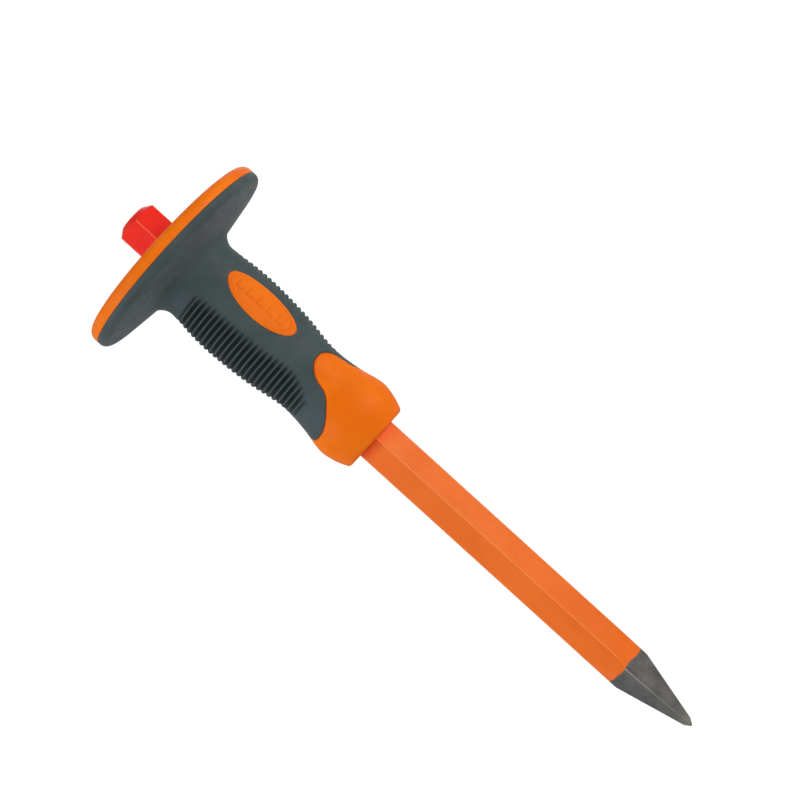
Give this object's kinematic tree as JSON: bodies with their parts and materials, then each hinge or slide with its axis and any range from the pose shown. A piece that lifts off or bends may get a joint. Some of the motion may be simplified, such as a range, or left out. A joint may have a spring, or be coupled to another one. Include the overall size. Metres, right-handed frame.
{
  "type": "point chisel with hand guard",
  "caption": "Hexagonal steel point chisel with a struck head, a four-sided point and a two-colour moulded grip with a round hand guard.",
  "frame": {"origin": "on the bar's axis at the hand grip, level with the grip's widest section", "axes": "+Z along the bar towards the struck head; the badges face -Y and +Y, and the bar's flats are turned 3.8 degrees from them, clockwise seen from the head"},
  "size_m": [0.0912, 0.0912, 0.2994],
  "materials": {
    "painted_bar": "orange enamel on forged steel, red at the struck head, bare at the point",
    "hard_plastic": "plain moulded",
    "orange_plastic": "satin moulded",
    "grey_rubber": "fine matt, ribbed on two sides"
  },
  "bodies": {
    "root": {"chisel_bar": "painted_bar", "core_sleeve": "hard_plastic", "guard_plate": "orange_plastic", "grip_overmould": "grey_rubber", "nose_collar": "orange_plastic", "front_badge": "orange_plastic", "back_badge": "orange_plastic"}
  },
  "joints": []
}
